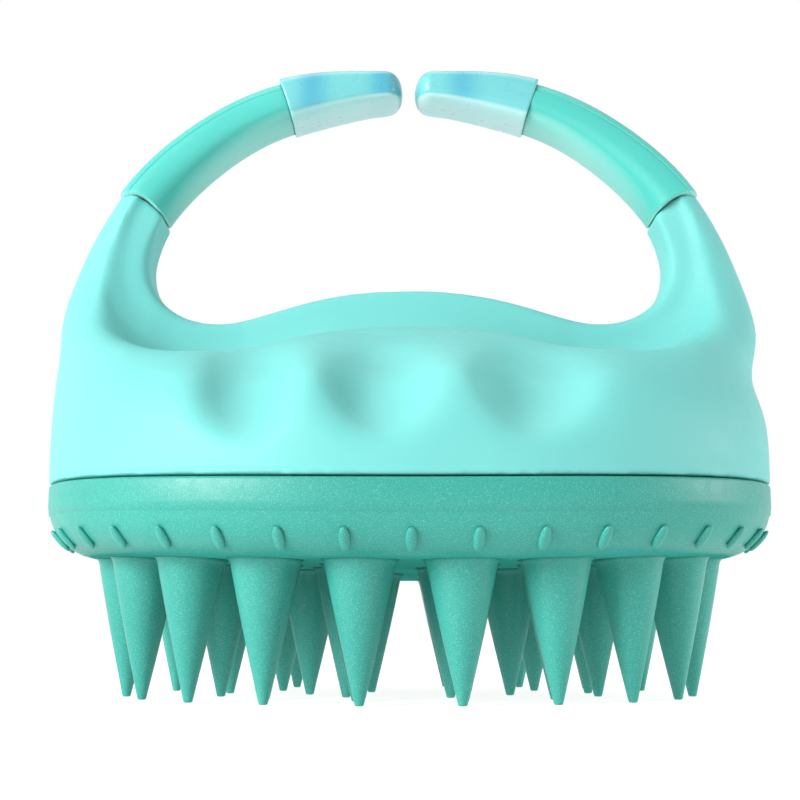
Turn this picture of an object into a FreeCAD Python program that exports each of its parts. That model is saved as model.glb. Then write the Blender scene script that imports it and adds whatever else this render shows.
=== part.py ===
"""Scalp massager brush: an open-ring grip on a hollow shell, over a soft head of massage cones.

Millimetres, +Z up. The cone tips stand on z = 0, X runs along the handle, and -Y is the front.
Every piece is its own solid, or its own group of solids, exported under its node name.
"""

import FreeCAD
import Part
import math
import os

V = FreeCAD.Vector

# ---- driving sizes ------------------------------------------------------------------------
HALF_LENGTH = 46.0          # of the shell and the head, along X
HALF_DEPTH = 38.6           # the same along Y
OVAL = 2.25                 # exponent of the plan outline: 2 is an ellipse, more is squarer
PARTING_Z = 24.0            # where the shell meets the head, at the middle
RIM_HEIGHT = 8.2            # from the underside of the head to the parting
PARTING_GAP = 0.3           # the shadow line between the shell and the head
SMILE_RADIUS = 555.0        # the parting and the underside rise gently towards both ends
FLOOR_THICKNESS = 3.0       # soft floor that carries the cones
RIM_ROUND = 5.6             # radius of the rim's lower edge
BASE_Z = 29.0               # underside of the plate that closes the shell
GROOVE_Z = 26.0             # underside of the groove for the seal ring

CONE_RADIUS = 4.1           # at the root
CONE_TIP_RADIUS = 0.5
CONE_TIP_FLAT = 0.3         # each cone stands on a small flat
OUTER_RING = (20, 36.0, 28.5)    # how many cones, and the half axes of their ring
MIDDLE_RING = (12, 24.5, 18.0)
INNER_RING = (6, 13.0, 9.0)

RIB_COUNT = 38
RIB_SIZE = (0.68, 1.7, 0.14)    # half a seed rib's width, half its length, and its radius at the ends
RIB_GAP = 0.06

ARM_CENTRE_Z = 50.5         # both arms follow one half ellipse about this height
ARM_HALF_SPAN = 40.6
ARM_RISE = 30.9
ARM_FULLNESS = 0.5          # how far the arms stand outside that ellipse before the caps
PIVOT_ANGLE = 14.0          # degrees along that ellipse: pivot, joint, cap seam, tip
SEAM_ANGLE = 28.3
CAP_ANGLE = 66.0
TIP_ANGLE = 88.8
SEAM_GAP = 0.15
CORE_HALF = (1.1, 3.2)      # half thickness and half width of an arm's core
EYE_RADIUS = 2.3
PIN_RADIUS = 0.8
RUNNING_FIT = 0.06

OPENING_FLARE = 8.0         # how far the scooped band reaches round the finger opening
LIP_HALF = 3.7              # half the width of the plain lip inside that band
SCALLOPS = ((-18.6, 7.1), (-3.6, 7.5), (13.8, 8.6))    # finger hollows: place and half width


# ---- helpers ------------------------------------------------------------------------------
def oval_wire(half_x, half_y, power, z):
    """A closed smooth superellipse in a level plane."""
    points = []
    for i in range(32):
        angle = 2 * math.pi * (i + 0.5) / 32
        c = math.cos(angle)
        s = math.sin(angle)
        x = half_x * math.copysign(abs(c) ** (2 / power), c)
        y = half_y * math.copysign(abs(s) ** (2 / power), s)
        points.append(V(x, y, z))
    curve = Part.BSplineCurve()
    curve.interpolate(points, PeriodicFlag=True)
    return Part.Wire(curve.toShape())


def oval_stack(rows):
    """A solid through level ovals, each given as (z, half x, half y, power)."""
    return Part.makeLoft([oval_wire(x, y, power, z) for z, x, y, power in rows], True)


def oval_plate(half_x, half_y, z0, z1):
    return Part.Face(oval_wire(half_x, half_y, OVAL, z0)).extrude(V(0, 0, z1 - z0))


def smile_cylinder(z):
    """The inside of this long cylinder lies above a surface that is z high at the middle."""
    return Part.makeCylinder(SMILE_RADIUS, 200, V(0, -100, z + SMILE_RADIUS), V(0, 1, 0))


def smile_rise(x):
    return x * x / (2 * SMILE_RADIUS)


def mirror_x(shape):
    return shape.mirror(V(0, 0, 0), V(1, 0, 0))


def mirror_y(shape):
    return shape.mirror(V(0, 0, 0), V(0, 1, 0))


def ellipsoid(centre, half, tilt=0.0):
    """An ellipsoid with half sizes along X, Y and Z, leaned about X by tilt degrees."""
    ball = Part.makeSphere(1.0)
    matrix = FreeCAD.Matrix()
    matrix.scale(half[0], half[1], half[2])
    shape = ball.transformGeometry(matrix)
    shape.rotate(V(0, 0, 0), V(1, 0, 0), tilt)
    shape.translate(centre)
    return shape


def arm_point(angle):
    """The middle of the right arm at an angle along its ellipse."""
    t = math.radians(angle)
    full = ARM_FULLNESS * math.exp(-((angle - 62) / 14) ** 2)
    return V(ARM_HALF_SPAN * math.cos(t), 0, ARM_CENTRE_Z + ARM_RISE * math.sin(t)) + arm_outward(angle) * full


def arm_direction(angle):
    """Along the right arm, towards its tip."""
    t = math.radians(angle)
    return V(-ARM_HALF_SPAN * math.sin(t), 0, ARM_RISE * math.cos(t)).normalize()


def arm_outward(angle):
    """Across the right arm, away from the finger opening."""
    d = arm_direction(angle)
    return V(d.z, 0, -d.x)


def arm_oval(angle, half_thick, half_wide):
    """An elliptic cross-section of the arm."""
    if half_wide >= half_thick:
        major, minor, long_way = half_wide, half_thick, V(0, 1, 0)
    else:
        major, minor, long_way = half_thick, half_wide, arm_outward(angle)
    centre = arm_point(angle)
    short_way = arm_direction(angle).cross(long_way)
    ellipse = Part.Ellipse(centre + long_way * major, centre + short_way * minor, centre)
    return Part.Wire(ellipse.toShape())


def arm_bar(angle, half_thick, half_wide):
    """A rectangular cross-section of the arm."""
    centre = arm_point(angle)
    out = arm_outward(angle) * half_thick
    side = V(0, half_wide, 0)
    corners = [centre + out + side, centre + out - side, centre - out - side, centre - out + side]
    return Part.makePolygon(corners + corners[:1])


# ---- shell --------------------------------------------------------------------------------
def opening_points():
    """The edge of the finger opening, right half, from the crest round to above the arm."""
    return [
        (0.0, 53.0), (6.5, 52.7), (12.8, 51.6), (19.2, 49.7), (25.8, 48.4),
        (30.8, 49.8), (33.6, 52.9), (34.4, 57.2), (33.6, 61.6), (30.2, 66.8),
        (24.6, 72.6), (12.0, 80.0),
    ]


def opening_wire(y, grow):
    """The opening's closed outline in the plane y, grown outwards by a distance."""
    right = opening_points()
    left = [(-x, z) for x, z in reversed(right[1:])]
    loop = right + left
    points = []
    for i in range(len(loop)):
        before = loop[i - 1]
        after = loop[(i + 1) % len(loop)]
        dx = after[0] - before[0]
        dz = after[1] - before[1]
        size = math.hypot(dx, dz)
        points.append(V(loop[i][0] + grow * dz / size, y, loop[i][1] - grow * dx / size))
    curve = Part.BSplineCurve()
    curve.interpolate(points, PeriodicFlag=True)
    return Part.Wire(curve.toShape())


def opening_funnel():
    """A straight hole with a scooped flare at the front and at the back."""
    hole = Part.Face(opening_wire(-60, 0)).extrude(V(0, 120, 0))
    rows = [(LIP_HALF, 0.0), (LIP_HALF + 0.6, 3.0), (LIP_HALF + 2.3, 5.6), (LIP_HALF + 5.5, 7.5), (60, OPENING_FLARE)]
    wires = [opening_wire(-y, grow) for y, grow in rows]
    flare = Part.makeLoft(wires, True, True)
    return [hole, flare, mirror_y(flare)]


def side_outline():
    """The front outline of one half of the shell. It trims nothing but the end of the stub."""
    pivot = arm_point(PIVOT_ANGLE)
    seam = arm_point(SEAM_ANGLE)
    radius = pivot.distanceToPoint(seam)
    out = arm_outward(SEAM_ANGLE) * 6.0
    outer = pivot + (seam + out - pivot).normalize() * radius
    inner = pivot + (seam - out - pivot).normalize() * radius
    arc = Part.Arc(outer, seam, inner).toShape()
    corners = [inner, V(20, 0, 56), V(0, 0, 56), V(0, 0, 10), V(60, 0, 10), V(60, 0, 60), outer]
    rest = [Part.makeLine(corners[i], corners[i + 1]) for i in range(len(corners) - 1)]
    return Part.Wire([arc] + rest)


def shell_blank():
    """The outside of the shell: level ovals from the parting up to the ends of the stubs."""
    rows = [
        (16.0, HALF_LENGTH, HALF_DEPTH, OVAL),
        (26.0, HALF_LENGTH, HALF_DEPTH, OVAL),
        (31.5, HALF_LENGTH + 0.1, HALF_DEPTH - 0.4, OVAL),
        (36.0, HALF_LENGTH + 0.1, HALF_DEPTH - 2.8, OVAL),
        (41.0, HALF_LENGTH + 0.2, 29.0, 2.3),
        (45.0, HALF_LENGTH + 0.3, 21.0, 2.4),
        (49.0, HALF_LENGTH - 0.1, 13.6, 2.5),
        (53.0, HALF_LENGTH - 1.2, 9.9, 2.7),
        (58.0, HALF_LENGTH - 2.9, 8.7, 2.9),
        (62.0, HALF_LENGTH - 4.6, 8.5, 3.0),
        (66.0, HALF_LENGTH - 6.9, 8.4, 3.0),
        (71.0, HALF_LENGTH - 10.3, 8.3, 3.0),
    ]
    body = oval_stack(rows)
    half = Part.Face(side_outline()).extrude(V(0, 100, 0))
    half.translate(V(0, -50, 0))
    return body.common(half.fuse(mirror_x(half)))


def scallops():
    """Finger hollows: three at the front, three at the back, one at each end."""
    cuts = []
    for x, half_width in SCALLOPS:
        hollow = ellipsoid(V(x, -38.5 + 0.006 * x * x, 40.5), (half_width, 9.5, 17.0), -38.5)
        cuts.append(hollow)
        cuts.append(mirror_y(hollow))
    for side in (-1, 1):
        cuts.append(ellipsoid(V(side * 53.0, 0, 41.0), (8.6, 12.0, 8.5)))
    return cuts


SCREW_PLACES = [(x, y) for x in (-24.0, 24.0) for y in (-13.0, 13.0)]


def stub_clevis():
    """What is cut out of the right stub: the slot for the core's eye, and the pin's blind bore."""
    pivot = arm_point(PIVOT_ANGLE)
    seam = arm_point(SEAM_ANGLE)
    along = (seam - pivot).normalize()
    out = V(along.z, 0, -along.x)
    half = EYE_RADIUS + 0.1
    wide = CORE_HALF[1] + 0.2
    start = pivot - out * half - V(0, wide, 0)
    corners = [start, start + out * 2 * half, start + out * 2 * half + along * 14, start + along * 14]
    slot = Part.Face(Part.makePolygon(corners + corners[:1])).extrude(V(0, 2 * wide, 0))
    round_end = Part.makeCylinder(half, 2 * wide, pivot - V(0, wide, 0), V(0, 1, 0))
    bore = Part.makeCylinder(PIN_RADIUS, 20, pivot - V(0, wide + 1.2, 0), V(0, 1, 0))
    return slot.fuse(round_end).fuse(bore)


def build_shell():
    shell = shell_blank()
    cavity = oval_stack([
        (PARTING_Z - 10.0, 41.6, 34.2, OVAL),
        (PARTING_Z + 8.0, 41.6, 32.0, OVAL),
        (PARTING_Z + 12.0, 40.0, 27.0, OVAL),
        (PARTING_Z + 15.0, 34.0, 17.0, OVAL),
    ])
    for x, y in SCREW_PLACES:
        cavity = cavity.cut(Part.makeCylinder(3.2, 20, V(x, y, BASE_Z + 1.6)))
    cuts = [cavity] + opening_funnel() + scallops()
    clevis = stub_clevis()
    cuts += [clevis, mirror_x(clevis)]
    for x, y in SCREW_PLACES:
        cuts.append(Part.makeCylinder(1.0, 8.2, V(x, y, BASE_Z + 1.0)))
    for cut in cuts:
        shell = shell.cut(cut)
    return shell.common(smile_cylinder(PARTING_Z + PARTING_GAP / 2))


def build_base_plate():
    """The cover screwed up into the shell. It keeps water out of the hollow."""
    plate = oval_plate(41.2, 32.4, BASE_Z, BASE_Z + 1.5)
    for x, y in SCREW_PLACES:
        plate = plate.cut(Part.makeCylinder(1.35, 5, V(x, y, BASE_Z - 1)))
    return plate


def build_base_screws():
    """Four self-tapping screws, in one group."""
    screws = []
    for x, y in SCREW_PLACES:
        head = Part.makeCylinder(2.3, 1.4, V(x, y, BASE_Z - 1.42))
        shank = Part.makeCylinder(1.0, 9.0, V(x, y, BASE_Z - 0.02))
        cross = Part.makeBox(2.6, 0.5, 0.7, V(x - 1.3, y - 0.25, BASE_Z - 1.5))
        cross = cross.fuse(Part.makeBox(0.5, 2.6, 0.7, V(x - 0.25, y - 1.3, BASE_Z - 1.5)))
        screws.append(head.fuse(shank).cut(cross))
    return Part.makeCompound(screws)


# ---- head ---------------------------------------------------------------------------------
UNDERSIDE_Z = PARTING_Z - RIM_HEIGHT


def ring_places(ring, shift):
    """Where the cones of one ring stand."""
    count, half_x, half_y = ring
    places = []
    for i in range(count):
        angle = 2 * math.pi * (i + shift) / count
        places.append((half_x * math.sin(angle), -half_y * math.cos(angle)))
    return places


def cone(x, y):
    """One massage cone: a little full near its root, with a small round tip."""
    top = UNDERSIDE_Z + smile_rise(x) + 0.4
    outline = [
        V(CONE_TIP_FLAT, 0, 0), V(CONE_TIP_RADIUS, 0, 0.16), V(CONE_TIP_RADIUS * 1.2, 0, 0.5),
        V(CONE_RADIUS * 0.35, 0, top * 0.24), V(CONE_RADIUS * 0.59, 0, top * 0.50),
        V(CONE_RADIUS * 0.83, 0, top * 0.78), V(CONE_RADIUS, 0, top),
    ]
    curve = Part.BSplineCurve()
    curve.interpolate(outline[2:])
    tip = Part.BSplineCurve()
    tip.interpolate(outline[:3])
    corners = [outline[-1], V(0, 0, top), V(0, 0, 0), outline[0]]
    edges = [tip.toShape(), curve.toShape()]
    edges += [Part.makeLine(corners[i], corners[i + 1]) for i in range(3)]
    solid = Part.Face(Part.Wire(edges)).revolve(V(0, 0, 0), V(0, 0, 1), 360)
    solid.translate(V(x, y, 0))
    return solid.cut(smile_cylinder(UNDERSIDE_Z - 0.02))


def build_cones(ring, shift):
    return Part.makeCompound([cone(x, y) for x, y in ring_places(ring, shift)])


def rim_places(count):
    """Even places round the rim: each is x, y and the outward direction there."""
    steps = 2000
    outline = []
    for i in range(steps + 1):
        angle = 2 * math.pi * i / steps - math.pi / 2
        c = math.cos(angle)
        s = math.sin(angle)
        x = HALF_LENGTH * math.copysign(abs(c) ** (2 / OVAL), c)
        y = HALF_DEPTH * math.copysign(abs(s) ** (2 / OVAL), s)
        outline.append((x, y))
    walked = [0.0]
    for i in range(steps):
        walked.append(walked[-1] + math.dist(outline[i], outline[i + 1]))
    places = []
    for k in range(count):
        goal = walked[-1] * k / count
        i = next(i for i, w in enumerate(walked) if w >= goal)
        x, y = outline[i]
        nx = math.copysign(abs(x / HALF_LENGTH) ** (OVAL - 1) / HALF_LENGTH, x)
        ny = math.copysign(abs(y / HALF_DEPTH) ** (OVAL - 1) / HALF_DEPTH, y)
        size = math.hypot(nx, ny)
        places.append((x, y, nx / size, ny / size))
    return places


def build_ribs():
    """The seed-shaped ribs on the rim's rounded lower edge, all alike: what stands out of a rounding of that radius."""
    thick, long, end = RIB_SIZE
    corners = [V(0, 0, -long), V(-end, 0, -long), V(-end, 0, long), V(0, 0, long)]
    flank = Part.Arc(corners[1], V(-thick, 0, 0), corners[2]).toShape()
    outline = [Part.makeLine(corners[0], corners[1]), flank, Part.makeLine(corners[2], corners[3]), Part.makeLine(corners[3], corners[0])]
    seed = Part.Face(Part.Wire(outline)).revolve(V(0, 0, 0), V(0, 0, 1), 360)
    seed.rotate(V(0, 0, 0), V(0, 0, 1), 90)
    seed.translate(V(0, RIM_ROUND, 0))
    seed = seed.cut(Part.makeCylinder(RIM_ROUND + RIB_GAP, 8, V(-4, 0, 0), V(1, 0, 0))).Solids[0]
    bowl = SMILE_RADIUS - RIM_ROUND
    ribs = []
    for x, y, nx, ny in rim_places(RIB_COUNT):
        centre = V(x - nx * RIM_ROUND, y - ny * RIM_ROUND, 0)
        centre.z = UNDERSIDE_Z + SMILE_RADIUS - math.sqrt(bowl ** 2 - centre.x ** 2)
        along = V(-ny, nx, -ny * centre.x / bowl).normalize()
        down = V(centre.x / bowl, 0, -math.sqrt(1 - (centre.x / bowl) ** 2))
        out = V(nx, ny, 0) + down
        out = (out - along * out.dot(along)).normalize()
        rib = seed.copy()
        rib.Placement = FreeCAD.Placement(centre, FreeCAD.Rotation(along, out, along.cross(out), "XYZ")).multiply(seed.Placement)
        ribs.append(rib)
    return Part.makeCompound(ribs)


def build_head():
    """The soft cup with its rounded rim and an inward lip over the carrier's edge."""
    cup = oval_plate(HALF_LENGTH, HALF_DEPTH, UNDERSIDE_Z - 6, PARTING_Z + 8).common(smile_cylinder(UNDERSIDE_Z))
    lowest = min(cup.Edges, key=lambda edge: edge.BoundBox.ZMax)
    cup = cup.makeFillet(RIM_ROUND, [lowest])
    pocket = oval_plate(42.0, 34.6, UNDERSIDE_Z + FLOOR_THICKNESS, UNDERSIDE_Z + FLOOR_THICKNESS + 2.6)
    mouth = oval_plate(40.6, 33.2, UNDERSIDE_Z + FLOOR_THICKNESS, PARTING_Z + 12)
    return cup.cut(pocket.fuse(mouth)).cut(smile_cylinder(PARTING_Z - PARTING_GAP / 2))


def build_carrier():
    """The stiff plate inside the soft cup, with the collar that plugs into the shell."""
    z0 = UNDERSIDE_Z + FLOOR_THICKNESS
    plate = oval_plate(41.9, 34.5, z0 + 0.02, z0 + 2.5)
    collar = oval_plate(40.5, 33.1, z0 + 2.5, BASE_Z - 0.1)
    hollow = oval_plate(38.3, 30.9, z0 + 2.5, BASE_Z + 1)
    groove = oval_plate(43, 35.6, GROOVE_Z, GROOVE_Z + 1.2)
    groove = groove.cut(oval_plate(39.4, 32.0, GROOVE_Z - 1, GROOVE_Z + 2))
    carrier = plate.fuse(collar).cut(hollow).cut(groove)
    for x in (-24.0, 0.0, 24.0):
        carrier = carrier.cut(Part.makeCylinder(4.0, 10, V(x, 0, z0 - 1)))
    return carrier


def build_seal():
    """The soft ring in the collar's groove. It rubs on the shell and holds the head in place."""
    ring = oval_plate(41.5, 34.1, GROOVE_Z + 0.05, GROOVE_Z + 1.15)
    return ring.cut(oval_plate(39.45, 32.05, GROOVE_Z - 1, GROOVE_Z + 2))


# ---- arms (the right one; the left is its mirror image) --------------------------------------
def grip_sections(first, last, swell):
    """Half thickness and half width of the soft grip, evenly along the arm."""
    wires = []
    steps = 6
    for i in range(steps + 1):
        share = i / steps
        angle = first + (last - first) * share
        wires.append(arm_oval(angle, 3.72 - 0.67 * share + swell, 5.9 - 0.75 * share + swell))
    return wires


def build_core():
    pivot = arm_point(PIVOT_ANGLE)
    angles = [PIVOT_ANGLE + (82 - PIVOT_ANGLE) * i / 8 for i in range(9)]
    bar = Part.makeLoft([arm_bar(a, CORE_HALF[0], CORE_HALF[1]) for a in angles], True)
    eye = Part.makeCylinder(EYE_RADIUS, 2 * CORE_HALF[1], pivot - V(0, CORE_HALF[1], 0), V(0, 1, 0))
    bore = Part.makeCylinder(PIN_RADIUS + RUNNING_FIT, 20, pivot - V(0, 10, 0), V(0, 1, 0))
    return bar.fuse(eye).cut(bore)


def build_grip(core):
    pivot = arm_point(PIVOT_ANGLE)
    radius = pivot.distanceToPoint(arm_point(SEAM_ANGLE)) + SEAM_GAP
    sleeve = Part.makeLoft(grip_sections(SEAM_ANGLE - 6, CAP_ANGLE, 0.0), True)
    ball_end = Part.makeCylinder(radius, 40, pivot - V(0, 20, 0), V(0, 1, 0))
    return sleeve.cut(ball_end).cut(core)


def build_cap(core):
    sizes = [(CAP_ANGLE, 3.4, 5.4), (72, 3.2, 5.25), (77, 2.9, 5.05), (82, 2.6, 4.8), (85.5, 2.25, 4.4), (87.7, 1.6, 3.4), (TIP_ANGLE, 0.7, 1.6)]
    body = Part.makeLoft([arm_oval(a, thick, wide) for a, thick, wide in sizes], True)
    return body.cut(core)


def build_pin():
    pivot = arm_point(PIVOT_ANGLE)
    start = CORE_HALF[1] + 0.2 + 1.2
    return Part.makeCylinder(PIN_RADIUS, start + 5.2, pivot - V(0, start, 0), V(0, 1, 0))


# ---- build and export -----------------------------------------------------------------------
core = build_core()
grip = build_grip(core)
cap = build_cap(core)
pin = build_pin()
head = build_head()

nodes = {
    "upper_shell": build_shell(),
    "base_plate": build_base_plate(),
    "base_screws": build_base_screws(),
    "silicone_head": head,
    "rim_ribs": build_ribs(),
    "outer_cones": build_cones(OUTER_RING, 0.5),
    "middle_cones": build_cones(MIDDLE_RING, 0.5),
    "inner_cones": build_cones(INNER_RING, 0.38),
    "carrier_plate": build_carrier(),
    "seal_ring": build_seal(),
    "right_arm_core": core,
    "right_grip": grip,
    "right_tip_cap": cap,
    "right_hinge_pin": pin,
    "left_arm_core": mirror_x(core),
    "left_grip": mirror_x(grip),
    "left_tip_cap": mirror_x(cap),
    "left_hinge_pin": mirror_x(pin),
}

os.makedirs("parts", exist_ok=True)
for name, shape in nodes.items():
    box = shape.BoundBox
    print(name, "solids", len(shape.Solids), "valid", shape.isValid(), "volume", round(shape.Volume, 1))
    print("   ", [round(v, 2) for v in (box.XMin, box.YMin, box.ZMin, box.XMax, box.YMax, box.ZMax)])
    shape.exportStep("parts/" + name + ".step")
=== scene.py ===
"""Scalp massager brush: the visual model on the CAD frame. Metres, +Z up, -Y is the front."""
import bpy
import math
import numpy as np
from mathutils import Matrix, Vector


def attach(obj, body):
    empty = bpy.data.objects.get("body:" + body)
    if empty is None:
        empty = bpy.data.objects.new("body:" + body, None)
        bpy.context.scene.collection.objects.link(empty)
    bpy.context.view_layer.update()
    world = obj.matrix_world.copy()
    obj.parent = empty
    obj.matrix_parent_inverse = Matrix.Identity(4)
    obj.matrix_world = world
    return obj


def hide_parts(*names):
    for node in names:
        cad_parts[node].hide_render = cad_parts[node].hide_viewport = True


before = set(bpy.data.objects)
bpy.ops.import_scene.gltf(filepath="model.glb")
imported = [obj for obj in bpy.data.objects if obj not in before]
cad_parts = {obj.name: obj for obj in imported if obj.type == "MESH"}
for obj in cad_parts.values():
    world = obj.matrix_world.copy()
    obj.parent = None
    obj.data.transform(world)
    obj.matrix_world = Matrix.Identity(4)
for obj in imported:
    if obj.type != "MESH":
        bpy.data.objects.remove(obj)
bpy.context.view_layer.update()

MM = 0.001

# ---- sizes shared with the CAD model, in millimetres ------------------------------------------
HALF_LENGTH = 46.0
HALF_DEPTH = 38.6
OVAL = 2.25
PARTING_Z = 24.0
RIM_HEIGHT = 8.2
UNDERSIDE_Z = PARTING_Z - RIM_HEIGHT
SMILE_RADIUS = 555.0
FLOOR_THICKNESS = 3.0
RIM_ROUND = 5.6
BAND_HEIGHT = 4.5           # the rim's upper band starts here, above the underside

CONE_RADIUS = 4.1
CONE_TIP = 0.54
CONE_RINGS = {                  # how many, the half axes of the ring, and where round it they start
    "outer_cones": (20, 36.0, 28.5, 0.5),
    "middle_cones": (12, 24.5, 18.0, 0.5),
    "inner_cones": (6, 13.0, 9.0, 0.38),
}

RIB_COUNT = 38
RIB_SIZE = (0.64, 0.40, 1.65)      # half sizes: along the rim, outwards, up

SKIN_VOXEL = 0.32
ALL_ROUNDS = 2              # how often each part of the shell's skin is smoothed
SKIN_ROUNDS = 24
HOLLOW_ROUNDS = 120
RIDGE_ROUNDS = 100
FOLD_Z = 37.0               # above this the shell's wall leans back
FOLD_ROUNDING = 0.5
LEAN_RISE = 7.5             # the wall reaches its full lean this far above the fold
FULL_LEAN = 0.21
HOLLOW_TOPS = ((-19.4, 5.0, 1.3), (-2.6, 5.6, 1.5), (16.2, 5.0, 1.2))   # x, half width, sag of the fold

ARM_CENTRE_Z = 50.5
ARM_HALF_SPAN = 40.6
ARM_RISE = 30.9
ARM_FULLNESS = 0.5
PIVOT_ANGLE = 14.0
SEAM_ANGLE = 28.3
CAP_ANGLE = 66.0
TIP_ANGLE = 88.8
SEAM_GAP = 0.15


# ---- mesh helpers --------------------------------------------------------------------------
def new_piece(name, points, faces):
    """A smooth mesh object from points in millimetres."""
    mesh = bpy.data.meshes.new(name)
    mesh.from_pydata([Vector(p) * MM for p in points], [], faces)
    mesh.validate()
    mesh.polygons.foreach_set("use_smooth", [True] * len(mesh.polygons))
    piece = bpy.data.objects.new(name, mesh)
    bpy.context.scene.collection.objects.link(piece)
    return piece


def ring_mesh(rings, first=0):
    """Points and faces through rings of equally many points, each end closed by one face.

    first is the number of the first point."""
    points = [p for ring in rings for p in ring]
    n = len(rings[0])
    faces = []
    for k in range(len(rings) - 1):
        a = first + k * n
        b = a + n
        for i in range(n):
            j = (i + 1) % n
            faces.append((a + i, a + j, b + j, b + i))
    faces.append(tuple(first + i for i in reversed(range(n))))
    last = first + (len(rings) - 1) * n
    faces.append(tuple(last + i for i in range(n)))
    return points, faces


def smile(x):
    """How much higher the underside and the parting are at x than at the middle."""
    return x * x / (2 * SMILE_RADIUS)


def oval_point(angle, half_x, half_y):
    c = math.cos(angle)
    s = math.sin(angle)
    x = half_x * math.copysign(abs(c) ** (2 / OVAL), c)
    y = half_y * math.copysign(abs(s) ** (2 / OVAL), s)
    return x, y


def read_points(mesh):
    """The mesh's points as rows of x, y and z in millimetres."""
    co = np.empty(len(mesh.vertices) * 3)
    mesh.vertices.foreach_get("co", co)
    return co.reshape(-1, 3) / MM


def write_points(mesh, co):
    mesh.vertices.foreach_set("co", (co * MM).ravel())
    mesh.update()


def fade(value, start, length):
    """0 up to start, 1 from start + length on, and a straight rise between."""
    return np.clip((value - start) / length, 0, 1)


def bump(value, middle, width):
    """A bell of height 1."""
    return np.exp(-((value - middle) / width) ** 2)


def soften(mesh, rounds, freedom):
    """Laplacian smoothing in place. freedom(points) gives how free each point is, 0 to 1."""
    co = read_points(mesh)
    edges = np.empty(len(mesh.edges) * 2, dtype=np.int64)
    mesh.edges.foreach_get("vertices", edges)
    edges = edges.reshape(-1, 2)
    free = freedom(co)
    edges = edges[(free[edges] > 0).any(axis=1)]
    used, edges = np.unique(edges, return_inverse=True)
    a, b = edges.reshape(-1, 2).T
    near = co[used]
    n = len(used)
    count = np.maximum(np.bincount(a, minlength=n) + np.bincount(b, minlength=n), 1)
    step = 0.6 * free[used][:, None]
    for _ in range(rounds):
        total = np.empty_like(near)
        for k in range(3):
            total[:, k] = np.bincount(a, near[b, k], n) + np.bincount(b, near[a, k], n)
        near += step * (total / count[:, None] - near)
    co[used] = near
    write_points(mesh, co)


# ---- shell ---------------------------------------------------------------------------------
def make_shell():
    """A fine skin of the CAD shell with its creases rolled soft, as moulded plastic has them."""
    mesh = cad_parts["upper_shell"].data.copy()
    mesh.materials.clear()
    piece = bpy.data.objects.new("shell_skin", mesh)
    bpy.context.scene.collection.objects.link(piece)
    remesh = piece.modifiers.new("even", "REMESH")
    remesh.mode = "VOXEL"
    remesh.voxel_size = SKIN_VOXEL * MM
    remesh.use_smooth_shade = True
    graph = bpy.context.evaluated_depsgraph_get()
    fine = bpy.data.meshes.new_from_object(piece.evaluated_get(graph))
    piece.modifiers.clear()
    piece.data = fine
    fine.name = "shell_skin"
    normals = np.empty(len(fine.vertices) * 3)
    fine.vertices.foreach_get("normal", normals)
    normals = normals.reshape(-1, 3)

    def above_parting(co):
        return co[:, 2] - PARTING_Z - co[:, 0] ** 2 / (2 * SMILE_RADIUS)

    def outside(co):
        """1 on the outer skin and 0 in the hollow, so that bosses and ribs inside keep their shape."""
        along_y = normals[:, 1] * np.sign(co[:, 1])
        along_x = normals[:, 0] * np.sign(co[:, 0])
        away = np.where(np.abs(co[:, 1]) > 12.0, along_y, along_x) > -0.05
        solid = co[:, 2] > PARTING_Z + 16.5
        return (solid | (away & (normals[:, 2] > -0.5))).astype(float)

    def skin(co):
        """Free on the outer skin, but not at the parting line or at the arms' seams."""
        return fade(above_parting(co), 0.6, 3.0) * fade(seam_distance(co), 4.2, 4.0) * outside(co)

    def hollows(co):
        """The finger hollows' edges melt into the wall, more than the opening's edges do."""
        level = fade(above_parting(co), 2.0, 5.0) * fade(-co[:, 2], -55.0, 4.0)
        return level * fade(np.abs(co[:, 1]), 9.0, 5.0) * skin(co)

    def ridge(co):
        """The edge of the band round the opening is rolled softer than the rest."""
        return fade(co[:, 2], 39.0, 4.0) * fade(np.abs(co[:, 1]), 6.5, 4.0) * skin(co)

    soften(fine, ALL_ROUNDS, lambda co: np.ones(len(co)))
    soften(fine, SKIN_ROUNDS, skin)
    soften(fine, HOLLOW_ROUNDS, hollows)
    soften(fine, RIDGE_ROUNDS, ridge)
    shape_ends(fine, outside)
    shape_hollows(fine, outside)
    fine.polygons.foreach_set("use_smooth", [True] * len(fine.polygons))
    return piece


def seam_distance(co):
    """How far points lie from the nearer arm's seam, seen from the front."""
    seam = arm_point(SEAM_ANGLE)
    return np.hypot(np.abs(co[:, 0]) - seam.x, co[:, 2] - seam.z)


def shape_ends(mesh, outside):
    """Fuller shoulders, and the waist that the right end has above its foot."""
    co = read_points(mesh)
    x, _, z = co.T.copy()
    skin = outside(co)
    left = fade(-x, 24.0, 14.0)
    right = fade(x, 24.0, 14.0)
    shoulder = bump(z, 53.0, 8.0) * fade(seam_distance(co), 4.0, 4.0)
    co[:, 0] += skin * shoulder * (0.35 * right - 0.55 * left)
    co[:, 0] += skin * (0.25 * bump(z, 44.0, 4.0) * left - 1.30 * bump(z, 40.0, 4.6) * right)
    write_points(mesh, co)


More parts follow.
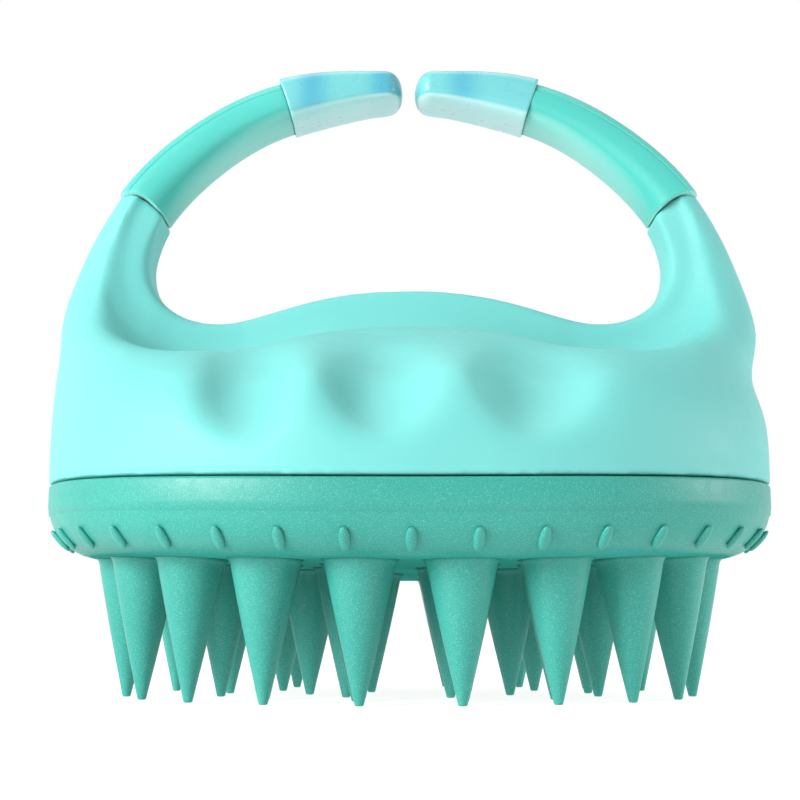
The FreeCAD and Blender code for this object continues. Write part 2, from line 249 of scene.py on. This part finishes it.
def shape_hollows(mesh, outside):
    """The wall leans back above a fold that sags in each hollow, and the right hollow lies further out."""
    co = read_points(mesh)
    x, y, z = co.T.copy()
    free = outside(co) * fade(np.abs(y), 12.0, 8.0)
    depth = (0.8 * bump(x, 18.4, 3.4) - 0.6 * bump(x, 8.2, 3.4)) * bump(z, 37.5, 6.0)
    co[:, 1] -= np.sign(y) * free * depth
    fold = np.full(len(co), FOLD_Z)
    for middle, width, sag in HOLLOW_TOPS:
        fold -= sag * bump(x, middle, width)
    lean = np.logaddexp(0, (z - fold) / FOLD_ROUNDING) * FOLD_ROUNDING / LEAN_RISE
    co[:, 1] *= 1 - FULL_LEAN * np.minimum(lean, 1.0) * fade(-np.abs(x), -34.0, 12.0)
    write_points(mesh, co)


# ---- arms ----------------------------------------------------------------------------------
def arm_point(angle):
    t = math.radians(angle)
    full = ARM_FULLNESS * math.exp(-((angle - 62) / 14) ** 2)
    oval = Vector((ARM_HALF_SPAN * math.cos(t), 0, ARM_CENTRE_Z + ARM_RISE * math.sin(t)))
    return oval + arm_outward(angle) * full


def arm_outward(angle):
    t = math.radians(angle)
    d = Vector((-ARM_HALF_SPAN * math.sin(t), 0, ARM_RISE * math.cos(t))).normalized()
    return Vector((d.z, 0, -d.x))


def arm_section(share, thick, wide, power=2.6, inner=0.0):
    """A point of the arm's cross-section as (outwards, sideways).

    inner is what the side at the finger opening lacks."""
    a = 2 * math.pi * share
    c = math.cos(a)
    s = math.sin(a)
    if c < 0:
        thick = thick - inner
    out = thick * math.copysign(abs(c) ** (2 / power), c)
    return out, wide * math.copysign(abs(s) ** (2 / power), s)


def grip_size(angle):
    share = (angle - SEAM_ANGLE + 6) / (CAP_ANGLE - SEAM_ANGLE + 6)
    return 3.66 - 0.51 * share, 5.80 - 0.85 * share


def make_grip(name, side):
    """The soft sleeve: its foot is hollowed to the joint, and a fine groove runs along its side."""
    pivot = arm_point(PIVOT_ANGLE)
    radius = (arm_point(SEAM_ANGLE) - pivot).length + SEAM_GAP
    around = 360
    along = 90

    def place(angle, share, shrink=0.0):
        thick, wide = grip_size(angle)
        inner = 0.45 * (angle - SEAM_ANGLE) / (CAP_ANGLE - SEAM_ANGLE)
        out, y = arm_section(share, thick - shrink, wide - shrink, inner=max(0.0, inner))
        if out > 0:
            out *= 1 - 0.085 * math.exp(-max(0.0, angle - SEAM_ANGLE + 4) / 5.0)
        groove = out - (thick - 1.85)
        y *= 1 - 0.030 * math.exp(-(groove / 0.13) ** 2) + 0.010 / (1 + math.exp(-groove / 0.1))
        p = arm_point(angle) + arm_outward(angle) * out
        p.y = y
        return p

    starts = []
    for i in range(around):
        low, high = SEAM_ANGLE - 12, SEAM_ANGLE + 14
        for _ in range(30):
            middle = (low + high) / 2
            p = place(middle, i / around)
            if math.hypot(p.x - pivot.x, p.z - pivot.z) < radius:
                low = middle
            else:
                high = middle
        starts.append(high)
    rings = []
    for shrink, share in ((3.0, 0.0), (0.9, 0.0), (0.12, 0.0), (0.03, 0.002)):
        rings.append([place(starts[i] + share * 40, i / around, shrink) for i in range(around)])
    for k in range(1, along + 1):
        share = k / along
        angles = [start + (CAP_ANGLE - start) * share for start in starts]
        rings.append([place(angles[i], i / around) for i in range(around)])
    rings.append([place(CAP_ANGLE, i / around, 0.3) for i in range(around)])
    rings = [[(side * p[0], p[1], p[2]) for p in ring] for ring in rings]
    if side < 0:
        rings = [list(reversed(ring)) for ring in rings]
    points, faces = ring_mesh(rings)
    return new_piece(name, points, faces)


def make_cap(name, side):
    """The lighter cap: a small step up from the grip, a slow taper and a blunt round end."""
    around = 96
    knots = [
        (CAP_ANGLE, 3.62, 5.15),
        (72, 3.42, 5.02),
        (77, 3.10, 4.85),
        (82, 2.72, 4.62),
        (TIP_ANGLE, 2.42, 4.40),
    ]

    def size(angle):
        for (a0, t0, w0), (a1, t1, w1) in zip(knots, knots[1:]):
            if angle <= a1:
                s = (angle - a0) / (a1 - a0)
                return t0 + (t1 - t0) * s, w0 + (w1 - w0) * s
        return knots[-1][1:]

    steps = [(0.0, 0.90), (0.0, 0.955), (0.05, 0.985), (0.16, 1.0)]
    steps += [(0.16 + 19.0 * k / 40, 1.0) for k in range(1, 41)]
    rings = []
    for offset, scale in steps:
        rings.append((CAP_ANGLE + offset, scale))
    last = rings[-1][0]
    for k in range(1, 15):
        s = k / 14 * 0.995
        rings.append((last + (TIP_ANGLE - last) * s, (1 - s ** 2.6) ** (1 / 2.2)))
    made = []
    for angle, scale in rings:
        thick, wide = size(angle)
        ring = []
        for i in range(around):
            out, y = arm_section(i / around, thick * scale, wide * scale, 3.6, 0.7 * scale)
            p = arm_point(angle) + arm_outward(angle) * out
            ring.append((side * p.x, y, p.z))
        if side < 0:
            ring.reverse()
        made.append(ring)
    points, faces = ring_mesh(made)
    return new_piece(name, points, faces)


# ---- head ----------------------------------------------------------------------------------
def make_cup():
    """The soft cup: flat underside, round lower rim, a slightly proud upper band and the inner lip."""
    around = 320
    top = RIM_HEIGHT - 0.08
    outer = [(HALF_DEPTH - k * 4.0, 0.0) for k in range(1, 9)]
    outer = [(inset, h) for inset, h in outer if inset > 6.2]
    for k in range(0, 15):
        a = math.pi / 2 * k / 14
        outer.append((RIM_ROUND * (1 - math.sin(a)), RIM_ROUND * (1 - math.cos(a))))
    edge = RIM_ROUND - math.sqrt(RIM_ROUND ** 2 - (RIM_ROUND - BAND_HEIGHT) ** 2)
    outer = [(inset + 0.17, h) for inset, h in outer if h < BAND_HEIGHT - 0.15]
    outer += [(edge + 0.18, BAND_HEIGHT - 0.08), (edge + 0.15, BAND_HEIGHT)]
    outer += [(edge + 0.01, BAND_HEIGHT + 0.10)]
    outer += [(0.0, RIM_ROUND), (0.0, 6.6), (0.0, RIM_HEIGHT - 0.42)]
    outer += [(0.05, RIM_HEIGHT - 0.20), (0.22, top)]
    rings = []
    for inset, height in outer:
        ring = []
        for i in range(around):
            x, y = oval_point(2 * math.pi * i / around, HALF_LENGTH - inset, HALF_DEPTH - inset)
            ring.append((x, y, UNDERSIDE_Z + height + smile(x)))
        rings.append(ring)
    floor = UNDERSIDE_Z + FLOOR_THICKNESS
    inner = [(40.6, 33.2, None), (40.6, 33.2, floor + 2.6)]
    inner += [(42.0, 34.6, floor + 2.6), (42.0, 34.6, floor), (20.0, 15.0, floor)]
    for half_x, half_y, z in inner:
        ring = []
        for i in range(around):
            x, y = oval_point(2 * math.pi * i / around, half_x, half_y)
            ring.append((x, y, UNDERSIDE_Z + top + smile(x) if z is None else z))
        rings.append(ring)
    points, faces = ring_mesh(rings)
    piece = new_piece("head_cup", points, faces)
    bevel = piece.modifiers.new("lip edges", "BEVEL")
    bevel.width = 0.12 * MM
    bevel.segments = 2
    bevel.limit_method = "ANGLE"
    bevel.angle_limit = math.radians(50)
    return piece


def make_ribs():
    """Seed-shaped ribs, evenly round the rim's rounded lower half."""
    steps = 4000
    turns = [2 * math.pi * i / steps - math.pi / 2 for i in range(steps + 1)]
    outline = [oval_point(turn, HALF_LENGTH, HALF_DEPTH) for turn in turns]
    walked = [0.0]
    for i in range(steps):
        walked.append(walked[-1] + math.dist(outline[i], outline[i + 1]))
    points = []
    faces = []
    around = 28
    levels = 20
    at = 0
    for k in range(RIB_COUNT):
        goal = walked[-1] * k / RIB_COUNT
        while walked[at] < goal:
            at += 1
        x, y = outline[at]
        nx = math.copysign(abs(x / HALF_LENGTH) ** (OVAL - 1) / HALF_LENGTH, x)
        ny = math.copysign(abs(y / HALF_DEPTH) ** (OVAL - 1) / HALF_DEPTH, y)
        size = math.hypot(nx, ny)
        nx, ny = nx / size, ny / size
        bowl = SMILE_RADIUS - RIM_ROUND
        centre = Vector((x - nx * RIM_ROUND, y - ny * RIM_ROUND, 0))
        centre.z = UNDERSIDE_Z + SMILE_RADIUS - math.sqrt(bowl ** 2 - centre.x ** 2)
        along = Vector((-ny, nx, -ny * centre.x / bowl)).normalized()
        out = Vector((nx + centre.x / bowl, ny, -1))
        out = (out - along * out.dot(along)).normalized()
        up = along.cross(out)
        centre += out * (RIM_ROUND - 0.04 - 0.16 * abs(nx) ** 3)
        rings = []
        for j in range(1, levels):
            polar = math.pi * j / levels
            wide = math.sin(polar) ** 0.85
            centre_line = centre + up * (-math.cos(polar) * RIB_SIZE[2])
            ring = []
            for i in range(around):
                a = 2 * math.pi * i / around
                sideways = along * (RIB_SIZE[0] * wide * math.cos(a))
                ring.append(centre_line + sideways + out * (RIB_SIZE[1] * wide * math.sin(a)))
            rings.append(ring)
        p, f = ring_mesh(rings, first=len(points))
        points += p
        faces += f
    return new_piece("rim_seed_ribs", points, faces)


def cone_outline(height):
    """Radius and height up one cone: a blunt tip, nearly straight sides and a small flare at the root."""
    corner = 0.24
    outline = []
    for k in range(0, 6):
        a = math.pi / 2 * k / 5
        outline.append((CONE_TIP - corner + corner * math.sin(a), corner * (1 - math.cos(a))))
    count = 34
    for k in range(1, count + 1):
        z = corner + (height - corner) * k / count
        t = (z - corner) / (height - corner)
        r = CONE_TIP + (CONE_RADIUS - 0.05 - CONE_TIP) * (t + 0.11 * t * (1 - t))
        r += 0.42 * math.exp(-(height - z) / 0.32)
        outline.append((r, z))
    return outline


def make_cones(name, ring):
    """One ring of massage cones, each sunk a little in the cup's underside."""
    count, half_x, half_y, start = ring
    around = 56
    points = []
    faces = []
    for i in range(count):
        angle = 2 * math.pi * (i + start) / count
        x = half_x * math.sin(angle)
        y = -half_y * math.cos(angle)
        height = UNDERSIDE_Z + smile(x) + 0.12
        rings = []
        for r, z in cone_outline(height):
            ring_points = []
            for j in range(around):
                a = 2 * math.pi * j / around
                lift = 0.0
                if z > height - 1.2:
                    lift = smile(x + r * math.cos(a)) - smile(x)
                ring_points.append((x + r * math.cos(a), y + r * math.sin(a), z + lift))
            rings.append(ring_points)
        p, f = ring_mesh(rings, first=len(points))
        points += p
        faces += f
    return new_piece(name, points, faces)


# ---- materials -----------------------------------------------------------------------------
def srgb(r, g, b):
    """A colour given as on a screen, for a shader."""
    return tuple(((v / 255 + 0.055) / 1.055) ** 2.4 for v in (r, g, b)) + (1.0,)


def grey(level):
    return (level, level, level, 1.0)


class Nodes:
    """A short way to write a material's node tree."""

    def __init__(self, name):
        self.material = bpy.data.materials.new(name)
        self.material.use_nodes = True
        self.tree = self.material.node_tree
        self.shader = self.tree.nodes["Principled BSDF"]
        self.where = self.add("ShaderNodeTexCoord").outputs["Object"]

    def add(self, kind, **values):
        node = self.tree.nodes.new(kind)
        for key, value in values.items():
            setattr(node, key, value)
        return node

    def link(self, a, b):
        self.tree.links.new(a, b)

    def set(self, **values):
        """Set the shader's inputs, with _ for each space in their names."""
        for key, value in values.items():
            self.shader.inputs[key.replace("_", " ")].default_value = value

    def noise(self, scale, detail=3.0, rough=0.5):
        node = self.add("ShaderNodeTexNoise")
        node.inputs["Scale"].default_value = scale
        node.inputs["Detail"].default_value = detail
        node.inputs["Roughness"].default_value = rough
        self.link(self.where, node.inputs["Vector"])
        return node.outputs["Fac"]

    def ramp(self, fac, stops, interpolation="LINEAR"):
        node = self.add("ShaderNodeValToRGB")
        ramp = node.color_ramp
        ramp.interpolation = interpolation
        while len(ramp.elements) < len(stops):
            ramp.elements.new(0.5)
        for element, (place, colour) in zip(ramp.elements, stops):
            element.position = place
            element.color = colour
        self.link(fac, node.inputs["Fac"])
        return node.outputs["Color"]

    def scaled(self, fac, low, high, low_in=0.3, high_in=0.7):
        """fac between low_in and high_in, taken to low and high."""
        node = self.add("ShaderNodeMapRange")
        node.inputs["From Min"].default_value = low_in
        node.inputs["From Max"].default_value = high_in
        node.inputs["To Min"].default_value = low
        node.inputs["To Max"].default_value = high
        self.link(fac, node.inputs["Value"])
        return node.outputs["Result"]

    def bump(self, fac, strength, distance, under=None):
        node = self.add("ShaderNodeBump")
        node.inputs["Strength"].default_value = strength
        node.inputs["Distance"].default_value = distance
        self.link(fac, node.inputs["Height"])
        if under is not None:
            self.link(under, node.inputs["Normal"])
        return node.outputs["Normal"]

    def part(self, vector, axis):
        """One of a vector's X, Y and Z."""
        node = self.add("ShaderNodeSeparateXYZ")
        self.link(vector, node.inputs["Vector"])
        return node.outputs[axis]

    def mixed(self, fac, under, colour, way="MIX"):
        """The colour under, with another over it by fac."""
        node = self.add("ShaderNodeMix", data_type="RGBA", blend_type=way)
        self.link(fac, node.inputs[0])
        self.link(under, node.inputs[6])
        node.inputs[7].default_value = colour
        return node.outputs[2]

    def paint(self, fac, colour):
        """Put a colour over the base colour by fac."""
        base = self.shader.inputs["Base Color"]
        self.link(self.mixed(fac, base.links[0].from_socket, colour), base)


def moulded(name, dark, light, rough, grain, grain_depth, soft=0.0, sheen=0.0, coat=0.0, painted_glint=0.0):
    """Moulded plastic or rubber: slow colour drift, fine grain and a little wear in the gloss.

    The last argument sets how bright the painted glints are: grain specks lightened in the base colour,
    standing in for tiny highlights."""
    n = Nodes(name)
    colour = n.ramp(n.noise(38.0, 2.0), [(0.30, dark), (0.72, light)])
    if painted_glint:
        # painted glints: bright specks added to the base colour in place of the grain's tiny highlights
        glints = n.scaled(n.noise(grain * 2.4, 1.0), 0.0, painted_glint, 0.50, 0.80)
        colour = n.mixed(glints, colour, (0.55, 0.60, 0.60, 1.0), "ADD")
    n.link(colour, n.shader.inputs["Base Color"])
    spots = n.noise(grain * 0.33, 3.0, 0.55)
    n.link(n.scaled(spots, rough - 0.05, rough + 0.06), n.shader.inputs["Roughness"])
    swell = n.bump(n.noise(160.0, 2.0), 0.12, 0.00012)
    n.link(n.bump(n.noise(grain, 2.0, 0.6), 0.5, grain_depth, swell), n.shader.inputs["Normal"])
    n.set(
        IOR=1.47, Subsurface_Weight=soft, Subsurface_Radius=(0.7, 1.0, 0.95), Subsurface_Scale=0.0022,
        Sheen_Weight=sheen, Sheen_Roughness=0.45, Coat_Weight=coat, Coat_Roughness=0.25,
    )
    return n


def dull_below(n, level):
    """No gloss on faces that look straight down, where the soft cup is left matt by its mould."""
    normal = n.add("ShaderNodeNewGeometry").outputs["True Normal"]
    gloss = n.scaled(n.part(normal, "Z"), 0.0, level, -0.98, -0.80)
    n.link(gloss, n.shader.inputs["Specular IOR Level"])


def painted_reflection_below(n, colour):
    """Painted reflection: the arms' downward-facing sides are made paler, standing in for the white
    surroundings reflected there.
    """
    normal = n.add("ShaderNodeNewGeometry").outputs["Normal"]
    n.paint(n.scaled(n.part(normal, "Z"), 0.75, 0.0, -0.80, -0.55), colour)


def painted_reflection_bands(n, colour, stops):
    """Painted reflection: bluish bands across the caps, standing in for the surroundings reflected in
    their gloss; that colour's share at places along X in millimetres.
    """
    reach = 20.0
    along = n.scaled(n.part(n.where, "X"), 0.0, 1.0, -reach * MM, reach * MM)
    shares = [((x + reach) / (2 * reach), grey(share)) for x, share in stops]
    n.paint(n.ramp(along, shares, "EASE"), colour)


def steel(name):
    n = Nodes(name)
    stretch = n.add("ShaderNodeMapping")
    stretch.inputs["Scale"].default_value = (1.0, 1.0, 14.0)
    n.link(n.where, stretch.inputs["Vector"])
    n.where = stretch.outputs["Vector"]
    brushed = n.noise(900.0, 2.0)
    colour = n.ramp(brushed, [(0.3, (0.42, 0.42, 0.43, 1)), (0.7, (0.62, 0.62, 0.63, 1))])
    n.link(colour, n.shader.inputs["Base Color"])
    n.link(n.scaled(brushed, 0.24, 0.42), n.shader.inputs["Roughness"])
    n.link(n.bump(brushed, 0.2, 0.00002), n.shader.inputs["Normal"])
    n.set(Metallic=1.0)
    return n


SHELL = moulded(
    "shell_satin", srgb(104, 186, 182), srgb(112, 194, 189), 0.52, 2600.0, 0.000010,
    soft=0.10,
)
SHELL.set(Specular_IOR_Level=0.30)
# The silicone's bright grain specks are painted glints.
SILICONE = moulded(
    "silicone_teal", srgb(42, 143, 131), srgb(52, 154, 141), 0.42, 3000.0, 0.00003,
    soft=0.12, painted_glint=0.15,
)
dull_below(SILICONE, 0.38)
GRIP = moulded(
    "grip_soft_touch", srgb(67, 174, 164), srgb(77, 185, 174), 0.44, 2600.0, 0.000012,
    soft=0.10, sheen=0.06,
)
# painted reflection: the grip's downward-facing sides are made paler
painted_reflection_below(GRIP, srgb(150, 214, 205))
CAP = moulded(
    "cap_gloss", srgb(102, 180, 182), srgb(114, 192, 192), 0.30, 1400.0, 0.000002,
    soft=0.10, coat=0.20,
)
# painted reflection bands on the caps: places along X in millimetres and the bluish colour's share there
CAP_REFLECTION_BANDS = (
    (-16, 0.1), (-13.2, 0.7), (-9.5, 0.05), (-6.5, 0.05), (-3.5, 0.75),
    (0, 0.3), (4, 0.05), (7.2, 0.65), (11, 0.1),
)
painted_reflection_bands(CAP, srgb(62, 150, 178), CAP_REFLECTION_BANDS)
# painted reflection: the cap's downward-facing sides are made paler
painted_reflection_below(CAP, srgb(206, 232, 230))
WHITE = moulded("inner_natural", srgb(200, 206, 204), srgb(214, 219, 217), 0.50, 4000.0, 0.00003)
CORE = moulded("core_natural", srgb(190, 197, 195), srgb(205, 210, 208), 0.48, 4000.0, 0.00003)
SEAL = moulded("seal_dark", srgb(38, 38, 40), srgb(48, 48, 50), 0.60, 4000.0, 0.00004, sheen=0.1)
STEEL = steel("steel_plain")


def dress(piece, look):
    piece.data.materials.clear()
    piece.data.materials.append(look.material)


# ---- make the pieces -------------------------------------------------------------------------
def place(piece, body, look, slot, *nodes):
    dress(piece, look)
    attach(piece, body)
    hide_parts(*nodes)


place(make_shell(), "handle", SHELL, "shell", "upper_shell")
place(make_cup(), "head", SILICONE, "silicone", "silicone_head")
place(make_ribs(), "head", SILICONE, "silicone", "rim_ribs")
for node, ring in CONE_RINGS.items():
    place(make_cones("soft_" + node, ring), "head", SILICONE, "silicone", node)
for word, side in (("left", -1), ("right", 1)):
    place(make_grip(word + "_grip_sleeve", side), word + "_arm", GRIP, "grip", word + "_grip")
    place(make_cap(word + "_cap_blunt", side), word + "_arm", CAP, "cap", word + "_tip_cap")

INNER_LOOKS = {
    "base_plate": WHITE,
    "carrier_plate": WHITE,
    "base_screws": STEEL,
    "seal_ring": SEAL,
    "left_hinge_pin": STEEL,
    "right_hinge_pin": STEEL,
    "left_arm_core": CORE,
    "right_arm_core": CORE,
}
for node, look in INNER_LOOKS.items():
    dress(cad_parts[node], look)


# ---- floor, light and camera -----------------------------------------------------------------
def make_floor():
    size = 3.0
    floor = bpy.data.objects.new("studio_floor", bpy.data.meshes.new("studio_floor"))
    corners = [(-size, -size, 0), (size, -size, 0), (size, size, 0), (-size, size, 0)]
    floor.data.from_pydata(corners, [], [(0, 1, 2, 3)])
    bpy.context.scene.collection.objects.link(floor)
    n = Nodes("floor_pale")
    n.link(n.ramp(n.noise(6.0), [(0.3, grey(0.24)), (0.7, grey(0.27))]), n.shader.inputs["Base Color"])
    n.set(Roughness=0.8, Emission_Color=grey(1.0), Emission_Strength=0.86)
    dress(floor, n)


LIGHTS = (                      # name, place, size and power
    ("key_left", (-0.38, -0.34, 0.17), 0.26, 3.7),
    ("fill_right", (0.45, -0.03, 0.11), 0.22, 0.8),
    ("top_soft", (0.0, 0.05, 0.50), 0.40, 0.7),
)
LIGHTS_AIM = (0.0, 0.0, 0.030)


def area_light(name, place_at, size, power):
    light = bpy.data.lights.new(name, "AREA")
    light.shape = "DISK"
    light.size = size
    light.energy = power
    lamp = bpy.data.objects.new(name, light)
    lamp.location = place_at
    lamp.rotation_mode = "QUATERNION"
    lamp.rotation_quaternion = (Vector(LIGHTS_AIM) - Vector(place_at)).to_track_quat("-Z", "Y")
    bpy.context.scene.collection.objects.link(lamp)


make_floor()
for light in LIGHTS:
    area_light(*light)


def make_world():
    """A white studio: white behind and beside the brush, dimmer overhead and in front of it."""
    world = bpy.data.worlds.new("studio_world")
    bpy.context.scene.world = world
    world.use_nodes = True
    tree = world.node_tree
    where = tree.nodes.new("ShaderNodeTexCoord")
    split = tree.nodes.new("ShaderNodeSeparateXYZ")
    tree.links.new(where.outputs["Generated"], split.inputs["Vector"])

    def falloff(value, start, end, low):
        node = tree.nodes.new("ShaderNodeMapRange")
        node.interpolation_type = "SMOOTHSTEP"
        node.inputs["From Min"].default_value = start
        node.inputs["From Max"].default_value = end
        node.inputs["To Min"].default_value = 1.0
        node.inputs["To Max"].default_value = low
        tree.links.new(value, node.inputs["Value"])
        return node.outputs["Result"]

    both = tree.nodes.new("ShaderNodeMath")
    both.operation = "MULTIPLY"
    tree.links.new(falloff(split.outputs["Z"], 0.48, 0.80, 0.45), both.inputs[0])
    tree.links.new(falloff(split.outputs["Y"], -0.15, -0.75, 0.32), both.inputs[1])
    tree.links.new(both.outputs["Value"], tree.nodes["Background"].inputs["Strength"])
    tree.nodes["Background"].inputs["Color"].default_value = (1.0, 1.0, 1.0, 1.0)


make_world()

bpy.context.scene.view_settings.view_transform = "Standard"

camera_data = bpy.data.cameras.new("camera")
camera_data.sensor_width = 36.0
camera_data.lens = 61.5
camera_data.clip_start = 0.01
camera = bpy.data.objects.new("camera", camera_data)
camera.location = (-0.0012, -0.180, 0.00775)
camera.rotation_euler = (math.radians(90 + 9.71), 0, 0)
bpy.context.scene.collection.objects.link(camera)
bpy.context.scene.camera = camera
